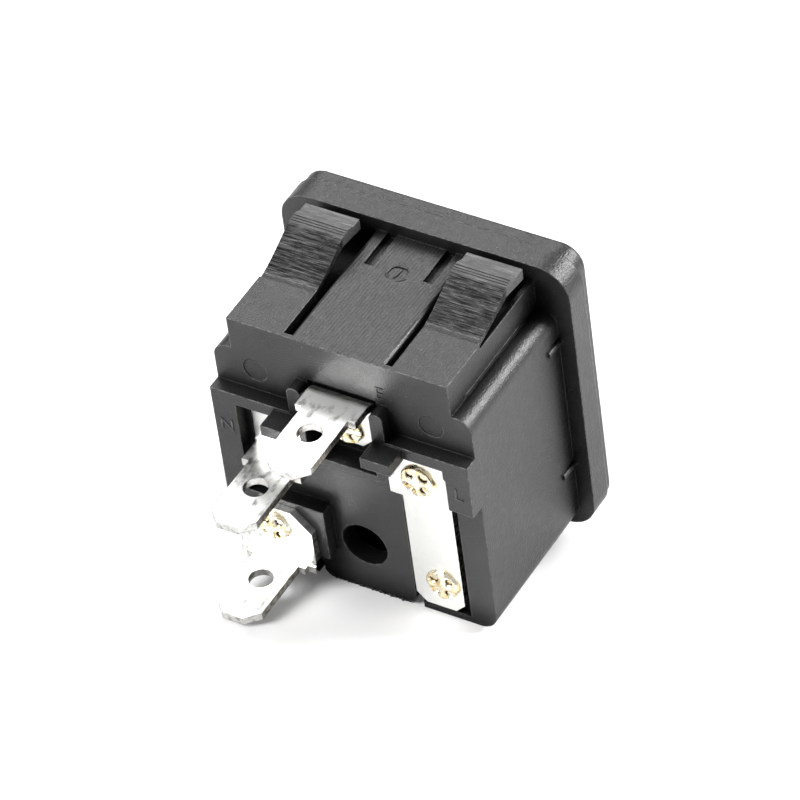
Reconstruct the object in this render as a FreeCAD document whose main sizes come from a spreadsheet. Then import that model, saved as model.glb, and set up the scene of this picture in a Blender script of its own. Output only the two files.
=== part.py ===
# Panel-mount appliance inlet with a fuse drawer and three flat tab terminals.
# Millimetres. X to the right seen from the front, Y from the socket side into the
# equipment, Z up towards the earth pin. The origin is the middle of the flange on the
# panel face. Seen from behind, the line side is the -X side.
import FreeCAD, Part
import Sketcher
import os

document = FreeCAD.newDocument("PowerEntryModule")
sheet = document.addObject("Spreadsheet::Sheet", "Sizes")

drivingSizes = (
    ("flangeWidth", 30.4, "flange, along X"),
    ("flangeHeight", 32.2, "flange, along Z"),
    ("flangeBackLayer", 2.6, "thick layer that meets the panel"),
    ("flangeFrontLayer", 1.7, "thinner layer on the socket side"),
    ("flangeSideInset", 0.6, "step from the thick layer in to the thin one, at the sides"),
    ("flangeEndInset", 0.2, "the same step at the top and the bottom"),
    ("flangeCorner", 3.3, "corner radius of the thick layer"),
    ("flangeFrontCorner", 2.3, "corner radius of the thin layer"),
    ("flangeEdgeRound", 0.5, "round on the front edge"),
    ("flangeLip", 1.7, "flange past the casing, on each side"),
    ("bodyDepth", 15.8, "panel face to the rear wall's outside"),
    ("shoulderLevel", 11.1, "top of the casing's shoulders"),
    ("bodyBottom", 15.4, "origin down to the casing's underside"),
    ("shoulderRound", 1.6, "round on the shoulders"),
    ("undersideRound", 1.9, "round on the lower long edges"),
    ("shoulderWidth", 2.0, "shoulder beside the raised block"),
    ("blockTop", 14.75, "top of the raised block and middle rib"),
    ("ribWidth", 9.9, "middle rib between two latches"),
    ("ribRound", 0.5, "round on the rib's upper long edges"),
    ("ribFootRound", 1.2, "round on the rib's lower long edges"),
    ("ribGrooveInner", 2.6, "middle to the near side of a rib groove"),
    ("ribGrooveWidth", 1.0, "rib groove, along X"),
    ("ribGrooveLength", 4.5, "rib groove, from the flange"),
    ("ribGrooveDepth", 0.5, "rib groove"),
    ("ribMarkDistance", 4.5, "round mould mark, from the flange"),
    ("ribMarkRadius", 1.0, "round mould mark"),
    ("markDepth", 0.1, "all round mould marks"),
    ("latchEdge", 0.15, "latch arm to the raised block's side"),
    ("latchSlot", 0.7, "slot beside a latch arm"),
    ("latchRoot", 9.8, "panel face to where the arm starts"),
    ("slotLip", 0.4, "wall left at the rear end of a slot"),
    ("upperLatchWell", 2.1, "room cut under the upper arms"),
    ("wellRim", 0.5, "block's side wall beside a well"),
    ("wellRimDrop", 0.5, "block's top down to that wall"),
    ("lowerLatchWell", 1.8, "room cut over the lower arms"),
    ("latchThickness", 0.45, "arm at its root"),
    ("crestThickness", 1.1, "arm under the rear of its crest"),
    ("latchTipSkin", 1.2, "arm at its tip"),
    ("rampShort", 0.15, "ramp's end under the crest"),
    ("crestRise", 2.4, "crest over the arm's root"),
    ("crestRear", 4.3, "panel face to where the ramp ends"),
    ("crestFront", 3.1, "panel face to the front of the crest"),
    ("latchTip", 1.3, "panel face to the arm's end face"),
    ("tipDrop", 0.45, "crest down to the last step"),
    ("tipStepDistance", 2.5, "panel face to the last step"),
    ("rampTeeth", 14, "fine teeth on one ramp"),
    ("crestTeeth", 4, "fine teeth on one crest"),
    ("toothDepth", 0.09, "fine teeth on the crest and tip"),
    ("rampToothDepth", 0.03, "fine teeth on the ramp"),
    ("inletMiddle", 3.5, "origin up to the middle of the inlet"),
    ("inletSideWall", 1.3, "casing beside the inlet"),
    ("inletHeight", 16.3, "inlet cavity, along Z"),
    ("inletFloorWall", 3.3, "rear wall behind the inlet"),
    ("inletChamfer", 4.6, "cut corners on the earth side"),
    ("inletCornerRound", 2.0, "round corners on the other side"),
    ("inletRim", 0.4, "bevel round the mouth"),
    ("pinPitch", 14.0, "line pin to neutral pin"),
    ("earthRise", 4.0, "line and neutral pins up to the earth pin"),
    ("pinThickness", 2.0, "pin blade, along X"),
    ("pinHeight", 4.0, "pin blade, along Z"),
    ("pinReach", 12.5, "line and neutral blades, from the floor"),
    ("earthReach", 14.5, "earth blade, from the floor"),
    ("pinBevel", 0.6, "bevel at a blade's end"),
    ("tailRadius", 0.85, "round tail of a pin"),
    ("tailFit", 0.05, "round a tail or shank in its hole"),
    ("pinHeadRadius", 1.7, "staked heads of the line and earth pins"),
    ("neutralHeadRadius", 1.1, "staked head of the neutral pin"),
    ("headHeight", 0.45, "staked heads"),
    ("headRound", 0.25, "round on the staked heads"),
    ("stakeOut", 0.66, "head's middle to a punched pit, in head radii"),
    ("stakeSize", 0.3, "punched pit, in head radii"),
    ("stakeDepth", 0.2, "punched pits"),
    ("ledgeLevel", 6.7, "origin up to the ledge on the rear wall"),
    ("raisedHeight", 1.5, "raised borders on the rear wall"),
    ("borderBar", 1.3, "raised bar under the ledge"),
    ("poleBorder", 2.55, "border outside a pole recess"),
    ("recessCut", 1.2, "cut corner of the line recess"),
    ("recessInner", 4.3, "middle to the inner side of a pole recess"),
    ("neutralRecessFoot", 7.9, "ledge down to the neutral recess's foot"),
    ("lineBorderFoot", 6.1, "ledge down to the foot of the line side's border"),
    ("earthRecessHalf", 3.6, "middle to the side of the earth recess"),
    ("earthRecessFoot", 4.7, "ledge down to the earth recess's shelf"),
    ("earthRecessTop", 3.4, "ledge up to the earth recess's top"),
    ("shelfThickness", 0.75, "shelf under the earth recess"),
    ("columnWidth", 1.4, "column on each side of the earth recess"),
    ("columnTop", 3.15, "ledge up to the columns' tops"),
    ("columnRound", 0.55, "round on the columns' tops"),
    ("tongueOuter", 6.75, "middle to the far side of a barrier tongue"),
    ("tongueInner", 3.7, "middle to the near side of a barrier tongue"),
    ("tongueDrop", 0.2, "ledge down to a tongue"),
    ("tongueThickness", 1.2, "barrier tongue"),
    ("tongueReach", 2.4, "barrier tongue, past the borders"),
    ("bossAbove", 2.7, "load rivet up to the terminal boss's top"),
    ("bossBelow", 3.3, "load rivet down to the terminal boss's foot"),
    ("bossInner", 3.1, "middle to the boss's near side"),
    ("rearHoleDrop", 9.6, "origin down to the round hole's middle"),
    ("rearHoleRadius", 2.4, "round hole in the rear wall"),
    ("rearMarkOut", 9.2, "middle to a mould mark on the rear wall"),
    ("rearMarkRise", 2.4, "ledge up to a mould mark"),
    ("rearMarkRadius", 1.25, "mould mark on the rear wall"),
    ("nibRadius", 0.35, "centring nib on the casing's side"),
    ("nibLength", 2.2, "centring nib, from the flange"),
    ("upperNib", 7.6, "origin up to the upper nibs"),
    ("lowerNib", 7.9, "origin down to the lower nibs"),
    ("sheetThickness", 0.8, "terminals and strap"),
    ("bendInside", 0.2, "inside radius of the lower terminals' bends"),
    ("earthBendInside", 1.0, "inside radius of the earth terminal's bend"),
    ("tabReach", 10.9, "rear wall to the tabs' ends"),
    ("shoulderReach", 3.0, "rear wall to the tabs' shoulders"),
    ("tabWidth", 4.8, "tab past its shoulders"),
    ("rootWidth", 6.3, "tab before its shoulders"),
    ("tabCorner", 1.3, "cut corners at a tab's end"),
    ("tabHoleReach", 5.7, "rear wall to a tab's hole"),
    ("tabHoleRadius", 1.2, "tab's hole"),
    ("earthTabRise", 4.3, "earth tail up to the earth tab's upper face"),
    ("earthPlateDrop", 1.85, "earth tail down to its plate's foot"),
    ("plateCut", 1.6, "cut corners on the plates' free ends"),
    ("neutralTabDrop", 1.3, "neutral tail down to its tab's upper face"),
    ("neutralPlateRise", 3.1, "neutral tail up to its plate's top"),
    ("neutralPlateWidth", 6.8, "neutral terminal's plate"),
    ("lineTabDrop", 3.95, "load rivet down to the line tab's upper face"),
    ("linePlateRise", 2.1, "load rivet up to the line plate's top"),
    ("linePlateWidth", 8.0, "line terminal's plate"),
    ("linePlateCut", 2.0, "cut corners of the line terminal's plate"),
    ("lineFootCut", 1.2, "cut corners at the line plate's foot, along Z"),
    ("strapHeadWidth", 6.5, "strap round the line pin's tail"),
    ("strapHeadRise", 2.9, "line pin's tail up to the strap's top"),
    ("strapHeadFoot", 2.65, "line pin's tail down to the strap's step"),
    ("strapLobeRise", 0.2, "step up to where the strap's lobe starts"),
    ("strapLobe", 0.7, "lobe on the strap's inner side"),
    ("strapWidth", 5.1, "strap below its step"),
    ("strapOutside", 1.98, "line rivet out to the strap's edge"),
    ("strapBelow", 3.25, "line rivet down to the strap's end"),
    ("strapCut", 1.0, "cut corners at the strap's end"),
    ("strapGap", 0.6, "gap beside the strap in its channel"),
    ("channelFit", 0.1, "round the strap and plates elsewhere"),
    ("fuseDrop", 9.7, "origin down to the fuse's axis"),
    ("fuseBack", 4.9, "bay's end wall to the fuse's axis"),
    ("fuseEndRoom", 1.5, "fuse's end to the bay's side"),
    ("fuseRadius", 2.6, "fuse cap"),
    ("capLength", 5.2, "fuse cap"),
    ("capEnd", 0.4, "fuse cap's end wall"),
    ("glassRadius", 2.3, "fuse's glass tube"),
    ("glassWall", 0.5, "fuse's glass tube"),
    ("glassFit", 0.03, "round the glass in its caps"),
    ("wireRadius", 0.15, "fuse wire"),
    ("clipInset", 1.83, "fuse's end in to the middle of a clip"),
    ("clipWidth", 4.0, "fuse clip, along X"),
    ("clipThickness", 0.4, "fuse clip"),
    ("clipFit", 0.03, "between a clip's arm and the fuse's cap"),
    ("clipReach", 2.2, "clip's arms, past the fuse's axis"),
    ("clipRivetOffset", 1.6, "fuse's axis to a clip's rivet"),
    ("clipRivetRadius", 0.7, "clip's rivet"),
    ("innerHeadRadius", 1.0, "head inside the clip"),
    ("innerHeadHeight", 0.4, "head inside the clip"),
    ("outerHeadRadius", 1.6, "head outside the casing"),
    ("baySideWall", 2.0, "casing beside the drawer's bay"),
    ("bayHeight", 6.6, "drawer's bay, along Z"),
    ("bayEndWall", 1.9, "rear wall behind the drawer's bay"),
    ("drawerFit", 0.15, "round the drawer in its bay"),
    ("drawerShort", 1.9, "bay's end wall to the drawer's end"),
    ("facePlateLap", 1.1, "drawer's front plate past the bay, on each side"),
    ("facePlateDrop", 0.6, "bay's foot down to the front plate's foot"),
    ("facePlateThickness", 1.6, "drawer's front plate"),
    ("pullWidth", 7.0, "pull lip of the drawer"),
    ("pullRise", 1.0, "pull lip over the front plate"),
    ("pullThickness", 0.9, "pull lip"),
    ("notchWidth", 9.0, "notch over the pull lip"),
    ("notchDepth", 3.2, "notch over the pull lip, from the flange front"),
    ("spareEndRoom", 0.3, "fuse's end to the end of the spare place"),
    ("spareWidth", 5.4, "empty spare place in the drawer, along Y"),
    ("spareDistance", 1.9, "panel face to the spare place's middle"),
    ("spareRoof", 0.9, "drawer's wall over the spare place"),
    ("cradleHalf", 4.6, "middle to the cradle's side"),
    ("cradleDepth", 3.4, "fuse's axis forward to where the cradle stands free"),
    ("cradleFit", 0.2, "between the glass and its cradle"),
    ("cradleMouth", 1.9, "half the cradle's mouth"),
    ("cheekWidth", 0.8, "drawer's cheek beyond a fuse cap"),
)

for row, (name, millimetres, meaning) in enumerate(drivingSizes, start=1):
    sheet.set(f"A{row}", meaning)
    sheet.set(f"B{row}", str(millimetres))
    sheet.setAlias(f"B{row}", name)
document.recompute()


class Measure:
    # A size or a sum of sizes: its value now, and the expression that ties it to the sheet.
    def __init__(self, value, text):
        self.value = value
        self.text = text

    def __add__(self, other):
        other = measure(other)
        return Measure(self.value + other.value, f"({self.text} + {other.text})")

    def __sub__(self, other):
        other = measure(other)
        return Measure(self.value - other.value, f"({self.text} - {other.text})")

    def __mul__(self, factor):
        return Measure(self.value * factor, f"({self.text} * {factor:.6f})")

    def __truediv__(self, divisor):
        return Measure(self.value / divisor, f"({self.text} / {divisor})")

    def __neg__(self):
        return Measure(-self.value, f"(-1 * {self.text})")


def measure(value):
    if isinstance(value, Measure):
        return value
    return Measure(float(value), f"({float(value):.6f})")


class SheetSizes:
    # Reads a driving size by its name in the sheet.
    def __getattr__(self, name):
        return Measure(float(sheet.get(name)), f"Sizes.{name}")


size = SheetSizes()
zero = measure(0)

# Each sketch plane: its origin plane, and the sign of its normal along the level's axis.
planes = {"front": ("XZ_Plane", -1), "top": ("XY_Plane", 1), "side": ("YZ_Plane", 1)}
volumeMargin = 1e-6


def newBody(label):
    body = document.addObject("PartDesign::Body", label)
    body.Label = label
    return body


def originPlane(body, role):
    return next(item for item in body.Origin.OriginFeatures if item.Role == role)


def rectangle(left, low, right, high):
    return [(left, low), (right, low), (right, high), (left, high)]


def drawOn(body, name, plane, level, outlines=(), circles=()):
    # A sketch on one of the body's origin planes, moved to its level, with closed outlines
    # of corners and circles of (x, y, radius), every one tied to the sheet.
    role, sign = planes[plane]
    sketch = body.newObject("Sketcher::SketchObject", name)
    sketch.AttachmentSupport = [(originPlane(body, role), "")]
    sketch.MapMode = "FlatFace"
    sketch.setExpression("AttachmentOffset.Base.z", (level * sign).text)
    for corners in outlines:
        corners = [(measure(x), measure(y)) for x, y in corners]
        count = len(corners)
        spots = [FreeCAD.Vector(x.value, y.value, 0) for x, y in corners]
        first = sketch.GeometryCount
        for i in range(count):
            sketch.addGeometry(Part.LineSegment(spots[i], spots[(i + 1) % count]))
        for i, (x, y) in enumerate(corners):
            here, following = first + i, first + (i + 1) % count
            sketch.addConstraint(Sketcher.Constraint("Coincident", here, 2, following, 1))
            place(sketch, here, 1, x, y)
    for x, y, radius in circles:
        x, y, radius = measure(x), measure(y), measure(radius)
        middle = FreeCAD.Vector(x.value, y.value, 0)
        up = FreeCAD.Vector(0, 0, 1)
        here = sketch.addGeometry(Part.Circle(middle, up, radius.value))
        place(sketch, here, 3, x, y)
        bind(sketch, Sketcher.Constraint("Radius", here, radius.value), radius)
    return sketch


def place(sketch, geometry, point, x, y):
    bind(sketch, Sketcher.Constraint("DistanceX", -1, 1, geometry, point, x.value), x)
    bind(sketch, Sketcher.Constraint("DistanceY", -1, 1, geometry, point, y.value), y)


def bind(sketch, constraint, length):
    index = sketch.addConstraint(constraint)
    sketch.setExpression(f"Constraints[{index}]", length.text)


def finishStep(body, feature, grows):
    # A step that adds nothing, or cuts nothing, points the wrong way.
    before = feature.BaseFeature.Shape.Volume if feature.BaseFeature else 0.0
    document.recompute()
    change = feature.Shape.Volume - before
    if (change if grows else -change) < volumeMargin:
        raise RuntimeError(f"{body.Label}: {feature.Label} changes nothing")
    return feature


def addPad(body, name, plane, level, length, forward=True, outlines=(), circles=()):
    # forward is along +X, +Y or +Z, the level's own axis.
    sketch = drawOn(body, name + "Sketch", plane, level, outlines, circles)
    pad = body.newObject("PartDesign::Pad", name)
    pad.Profile = sketch
    pad.setExpression("Length", length.text)
    pad.Reversed = (planes[plane][1] > 0) != forward
    return finishStep(body, pad, True)


def addPocket(body, name, plane, level, length, forward=True, outlines=(), circles=()):
    sketch = drawOn(body, name + "Sketch", plane, level, outlines, circles)
    pocket = body.newObject("PartDesign::Pocket", name)
    pocket.Profile = sketch
    pocket.setExpression("Length", length.text)
    pocket.Reversed = (planes[plane][1] > 0) == forward
    return finishStep(body, pocket, False)


def edgesAlong(shape, axis, spots):
    # Names of the straight edges along an axis that pass through the spots, each a pair of
    # the other two coordinates in X, Y, Z order.
    others = [i for i in range(3) if i != axis]
    names = []
    for number, edge in enumerate(shape.Edges, start=1):
        ends = [vertex.Point for vertex in edge.Vertexes]
        if len(ends) != 2 or edge.Curve.TypeId != "Part::GeomLine":
            continue
        for first, second in spots:
            wanted = (measure(first).value, measure(second).value)
            gaps = [abs(p[others[i]] - wanted[i]) for p in ends for i in range(2)]
            if max(gaps) < 1e-4:
                names.append(f"Edge{number}")
    return names


def edgesAtLevel(shape, axis, level, within=None):
    # Names of the edges that lie wholly at one level, inside a radius round a spot if given.
    names = []
    for number, edge in enumerate(shape.Edges, start=1):
        box = edge.BoundBox
        low = (box.XMin, box.YMin, box.ZMin)[axis]
        high = (box.XMax, box.YMax, box.ZMax)[axis]
        if max(abs(low - level.value), abs(high - level.value)) > 1e-4:
            continue
        if within and (box.Center - within[0]).Length > within[1]:
            continue
        names.append(f"Edge{number}")
    return names


def smooth(body, name, kind, radius, names):
    # kind is Fillet or Chamfer, and a name is an edge of the body's last feature.
    if not names:
        raise RuntimeError(f"{body.Label}: {name} finds no edge")
    before = body.Tip
    feature = body.newObject(f"PartDesign::{kind}", name)
    feature.Base = (before, names)
    feature.setExpression("Radius" if kind == "Fillet" else "Size", radius.text)
    document.recompute()
    if feature.Shape.isNull() or not feature.Shape.isValid():
        raise RuntimeError(f"{body.Label}: {name} fails")
    return feature


flangeThickness = size.flangeBackLayer + size.flangeFrontLayer
flangeFront = -flangeThickness
halfBody = size.flangeWidth / 2 - size.flangeLip
halfBlock = halfBody - size.shoulderWidth
halfRib = size.ribWidth / 2
latchInner = halfRib + size.latchSlot
latchOuter = halfBlock - size.latchEdge
halfInlet = halfBody - size.inletSideWall
inletFloor = size.bodyDepth - size.inletFloorWall
inletDepth = inletFloor - flangeFront
recessOuter = halfBody - size.poleBorder
halfBay = halfBody - size.baySideWall
bayEnd = size.bodyDepth - size.bayEndWall
drawerEnd = bayEnd - size.drawerShort
fuseDistance = bayEnd - size.fuseBack
halfFuse = halfBay - size.fuseEndRoom
clipOut = halfFuse - size.clipInset
inletFoot = size.inletMiddle - size.inletHeight / 2
poleLevel = size.inletMiddle - size.earthRise / 2
earthLevel = size.inletMiddle + size.earthRise / 2
halfPitch = size.pinPitch / 2
bayRoof = size.bayHeight / 2 - size.fuseDrop
bayFoot = -size.bayHeight / 2 - size.fuseDrop
seatLevel = size.bodyDepth - size.sheetThickness
raisedLevel = size.bodyDepth + size.raisedHeight
facePlateFoot = bayFoot - size.facePlateDrop
lineRivetLevel = -size.fuseDrop - size.clipRivetOffset
strapBottom = -lineRivetLevel + size.strapBelow
loadRivetLevel = -size.fuseDrop + size.clipRivetOffset
overcut = measure(1)


def mirrorOutline(outline):
    return [(-measure(x), y) for x, y in reversed(outline)]


def bothSides(outline):
    return [outline, mirrorOutline(outline)]


def makeFlange(body):
    halfWidth, halfHeight = size.flangeWidth / 2, size.flangeHeight / 2
    thick = rectangle(-halfWidth, -halfHeight, halfWidth, halfHeight)
    addPad(body, "FlangeBack", "front", zero, size.flangeBackLayer, False, [thick])
    thinX, thinZ = halfWidth - size.flangeSideInset, halfHeight - size.flangeEndInset
    thin = rectangle(-thinX, -thinZ, thinX, thinZ)
    step = -size.flangeBackLayer
    pad = addPad(body, "FlangeFront", "front", step, size.flangeFrontLayer, False, [thin])
    names = edgesAlong(pad.Shape, 1, thin)
    smooth(body, "FlangeFrontCorners", "Fillet", size.flangeFrontCorner, names)
    names = edgesAlong(body.Tip.Shape, 1, thick)
    smooth(body, "FlangeBackCorners", "Fillet", size.flangeCorner, names)
    names = edgesAtLevel(body.Tip.Shape, 1, flangeFront)
    smooth(body, "FlangeFrontRound", "Fillet", size.flangeEdgeRound, names)


def makeCasing(body):
    box = rectangle(-halfBody, -size.bodyBottom, halfBody, size.shoulderLevel)
    pad = addPad(body, "Casing", "front", zero, size.bodyDepth, True, [box])
    lower, upper = box[:2], box[2:]
    smooth(body, "LowerRound", "Fillet", size.undersideRound, edgesAlong(pad.Shape, 1, lower))
    names = edgesAlong(body.Tip.Shape, 1, upper)
    smooth(body, "ShoulderRound", "Fillet", size.shoulderRound, names)
    block = rectangle(-halfBlock, poleLevel, halfBlock, size.blockTop)
    addPad(body, "RaisedBlock", "front", zero, size.bodyDepth, True, [block])
    upperWell = size.blockTop - size.upperLatchWell
    lowerWell = size.lowerLatchWell - size.bodyBottom
    rimLevel = size.blockTop - size.wellRimDrop
    rimInside = halfBlock - size.wellRim
    well = [
        (halfRib, upperWell), (rimInside, upperWell), (rimInside, rimLevel),
        (halfBlock + overcut, rimLevel), (halfBlock + overcut, size.blockTop + overcut),
        (halfRib, size.blockTop + overcut),
    ]
    addPocket(body, "UpperWells", "front", zero, size.latchRoot, True, bothSides(well))
    outside = latchOuter + size.latchSlot
    well = rectangle(halfRib, -size.bodyBottom - overcut, outside, lowerWell)
    addPocket(body, "LowerWells", "front", zero, size.latchRoot, True, bothSides(well))
    slotLength = size.bodyDepth - size.slotLip - size.latchRoot
    upper = rectangle(halfRib, upperWell, latchInner, size.blockTop + overcut)
    lower = rectangle(halfRib, -size.bodyBottom - overcut, latchInner, lowerWell)
    addPocket(body, "UpperSlots", "front", size.latchRoot, slotLength, True, bothSides(upper))
    slotLength = size.bodyDepth - size.latchRoot
    addPocket(body, "LowerSlots", "front", size.latchRoot, slotLength, True, bothSides(lower))
    names = edgesAlong(body.Tip.Shape, 1, [(x, size.blockTop) for x in (-halfRib, halfRib)])
    smooth(body, "RibRound", "Fillet", size.ribRound, names)
    names = edgesAlong(body.Tip.Shape, 1, [(x, -size.bodyBottom) for x in (-halfRib, halfRib)])
    smooth(body, "RibFootRound", "Fillet", size.ribFootRound, names)


def latchOutline(face, outward):
    # The arm seen from the side: a flat root, a hollow ramp of fine teeth up to the crest,
    # a crest of fine teeth, and a step down to the end face. face is the level of the arm's
    # outer face at its root, and outward is 1 on top of the casing and -1 under it.
    def point(distance, rise):
        return (distance, face + measure(rise) * outward)

    teeth = int(size.rampTeeth.value)
    run = size.latchRoot - size.crestRear
    outline = [point(size.latchRoot + overcut, zero), point(size.latchRoot, zero)]
    hollow = 1.3
    rampRise = size.crestRise - size.rampShort
    for tooth in range(1, teeth + 1):
        share = tooth / teeth
        rise = rampRise * share**hollow
        distance = size.latchRoot - run * share
        outline.append(point(distance, rise))
        if tooth < teeth:
            outline.append(point(distance, rise - size.rampToothDepth))
    teeth = int(size.crestTeeth.value)
    run = size.crestRear - size.crestFront
    for tooth in range(1, teeth + 1):
        distance = size.crestRear - run * (tooth / teeth)
        rise = rampRise + size.rampShort * (tooth / teeth)
        outline.append(point(distance, rise - size.toothDepth))
        if tooth < teeth:
            outline.append(point(distance, rise))
    tipRise = size.crestRise - size.tipDrop
    outline.append(point(size.tipStepDistance, tipRise + size.toothDepth))
    outline.append(point(size.tipStepDistance, tipRise))
    outline.append(point(size.latchTip, tipRise))
    outline.append(point(size.latchTip, tipRise - size.latchTipSkin))
    outline.append(point(size.crestRear, rampRise - size.crestThickness))
    outline.append(point(size.latchRoot, -size.latchThickness))
    outline.append(point(size.latchRoot + overcut, -size.latchThickness))
    return outline


def makeLatches(body):
    width = latchOuter - latchInner
    for place_, face, outward in (("Upper", size.blockTop, 1), ("Lower", -size.bodyBottom, -1)):
        outline = latchOutline(face, outward)
        for side, level in (("Line", -latchOuter), ("Load", latchInner)):
            addPad(body, f"{place_}{side}Latch", "side", level, width, True, [outline])


def makeInlet(body):
    halfWidth, halfHeight = halfInlet, size.inletHeight / 2
    roof = size.inletMiddle + halfHeight
    cutX, cutZ = halfWidth - size.inletChamfer, roof - size.inletChamfer
    mouth = [
        (-halfWidth, inletFoot), (halfWidth, inletFoot), (halfWidth, cutZ),
        (cutX, roof), (-cutX, roof), (-halfWidth, cutZ),
    ]
    addPocket(body, "Inlet", "front", flangeFront, inletDepth, True, [mouth])
    names = edgesAlong(body.Tip.Shape, 1, mouth[:2])
    smooth(body, "InletCorners", "Fillet", size.inletCornerRound, names)


def makeBay(body):
    halfPlate = halfBay + size.facePlateLap + size.drawerFit
    bay = rectangle(-halfBay, bayFoot, halfBay, bayRoof)
    addPocket(body, "Bay", "front", flangeFront, flangeThickness + bayEnd, True, [bay])
    plate = rectangle(-halfPlate, facePlateFoot - size.drawerFit, halfPlate, bayRoof)
    addPocket(body, "PlateSeat", "front", flangeFront, size.facePlateThickness, True, [plate])
    notch = rectangle(-size.notchWidth / 2, bayRoof - overcut, size.notchWidth / 2, inletFoot + overcut)
    addPocket(body, "PullNotch", "front", flangeFront, size.notchDepth, True, [notch])


def makeRearWall(body):
    ledge = size.ledgeLevel
    barFoot = ledge - size.borderBar
    shelfFoot = ledge - size.earthRecessFoot - size.shelfThickness
    lineFoot = ledge - size.lineBorderFoot
    bossTop, bossFoot = loadRivetLevel + size.bossAbove, loadRivetLevel - size.bossBelow
    borders = [
        (-halfBody, ledge), (-halfBody, lineFoot), (-recessOuter, lineFoot),
        (-recessOuter, barFoot - size.recessCut),
        (size.recessCut - recessOuter, barFoot), (-size.recessInner, barFoot),
        (-size.recessInner, shelfFoot), (size.recessInner, shelfFoot),
        (size.recessInner, barFoot), (recessOuter, barFoot),
        (recessOuter, bossTop), (size.bossInner, bossTop),
        (size.bossInner, bossFoot), (halfBody, bossFoot), (halfBody, ledge),
    ]
    rear = size.bodyDepth
    addPad(body, "Borders", "front", rear, size.raisedHeight, True, [borders])
    earthHalf = size.earthRecessHalf
    neutralOuter = halfPitch + size.neutralPlateWidth / 2 + size.channelFit
    columnOuter = earthHalf + size.columnWidth
    column = rectangle(earthHalf, ledge, columnOuter, ledge + size.columnTop)
    addPad(body, "Columns", "front", rear, size.raisedHeight, True, bothSides(column))
    tops = [(x * sign, ledge + size.columnTop) for x in (earthHalf, columnOuter) for sign in (-1, 1)]
    smooth(body, "ColumnTops", "Fillet", size.columnRound, edgesAlong(body.Tip.Shape, 1, tops))
    tongueTop = ledge - size.tongueDrop
    tongueFoot = tongueTop - size.tongueThickness
    tongue = rectangle(size.tongueInner, tongueFoot, size.tongueOuter, tongueTop)
    addPad(body, "Tongues", "front", raisedLevel, size.tongueReach, True, bothSides(tongue))
    depth = size.sheetThickness + size.raisedHeight
    recesses = [
        rectangle(-earthHalf, ledge - size.earthRecessFoot, earthHalf, ledge + size.earthRecessTop),
        [
            (size.recessInner, ledge - size.neutralRecessFoot),
            (neutralOuter, ledge - size.neutralRecessFoot),
            (neutralOuter, barFoot - size.plateCut / 2),
            (neutralOuter - size.plateCut / 2, barFoot), (size.recessInner, barFoot),
        ],
    ]
    addPocket(body, "Recesses", "front", seatLevel, depth, True, recesses)
    makeStrapChannel(body, barFoot, depth)
    hole = [(zero, -size.rearHoleDrop, size.rearHoleRadius)]
    length = size.bodyDepth - bayEnd
    addPocket(body, "RearHole", "front", bayEnd, length, True, circles=hole)
    marks = [
        (size.rearMarkOut * sign, ledge + size.rearMarkRise, size.rearMarkRadius) for sign in (-1, 1)
    ]
    markLevel = rear - size.markDepth
    addPocket(body, "RearMarks", "front", markLevel, size.markDepth, True, circles=marks)


def makeStrapChannel(body, barFoot, depth):
    fit = size.channelFit
    stepLevel = poleLevel - size.strapHeadFoot - fit
    lobeTop = poleLevel - size.strapHeadFoot + strapLobeHeight + fit
    farSide = strapOuterEdge - size.strapGap
    nearSide = strapInnerEdge + fit
    lobeSide = strapLobeEdge + fit
    channel = [
        (farSide, barFoot), (farSide, -strapBottom - fit), (nearSide, -strapBottom - fit),
        (nearSide, stepLevel), (lobeSide, stepLevel), (lobeSide, lobeTop),
        (-size.recessInner, lobeTop), (-size.recessInner, barFoot),
    ]
    addPocket(body, "StrapChannel", "front", seatLevel, depth, True, [channel])


def makeHoles(body):
    tail = size.tailRadius + size.tailFit
    pins = [(-halfPitch, poleLevel, tail), (halfPitch, poleLevel, tail), (zero, earthLevel, tail)]
    addPocket(body, "PinHoles", "front", inletFloor, seatLevel - inletFloor, True, circles=pins)
    shank = size.clipRivetRadius + size.tailFit
    line = [(-clipOut, lineRivetLevel, shank)]
    addPocket(body, "LineRivetHole", "front", bayEnd, seatLevel - bayEnd, True, circles=line)
    load = [(clipOut, loadRivetLevel, shank)]
    addPocket(body, "LoadRivetHole", "front", bayEnd, raisedLevel - bayEnd, True, circles=load)


def makeTrim(body):
    groove = rectangle(
        size.ribGrooveInner, zero, size.ribGrooveInner + size.ribGrooveWidth, size.ribGrooveLength
    )
    level = size.blockTop - size.ribGrooveDepth
    addPocket(body, "RibGrooves", "top", level, size.ribGrooveDepth, True, bothSides(groove))
    mark = [(zero, size.ribMarkDistance, size.ribMarkRadius)]
    level = size.blockTop - size.markDepth
    addPocket(body, "RibMark", "top", level, size.markDepth, True, circles=mark)
    nibs = [
        (halfBody * side, middle, size.nibRadius)
        for side in (-1, 1) for middle in (size.upperNib, -size.lowerNib)
    ]
    addPad(body, "Nibs", "front", zero, size.nibLength, True, circles=nibs)


# The strap runs from the line pin's tail down to the line clip's rivet.
strapHeadInner = size.strapHeadWidth / 2 - halfPitch - size.strapLobe
strapLobeEdge = size.strapHeadWidth / 2 - halfPitch
strapHeadOuter = -halfPitch - size.strapHeadWidth / 2
strapOuterEdge = -clipOut - size.strapOutside
strapInnerEdge = strapOuterEdge + size.strapWidth
strapLobeHeight = size.strapHeadFoot - size.strapLobeRise


def makeHousing():
    body = newBody("housing")
    makeFlange(body)
    makeCasing(body)
    makeLatches(body)
    makeInlet(body)
    makeBay(body)
    makeRearWall(body)
    makeHoles(body)
    makeTrim(body)
    return body


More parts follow.
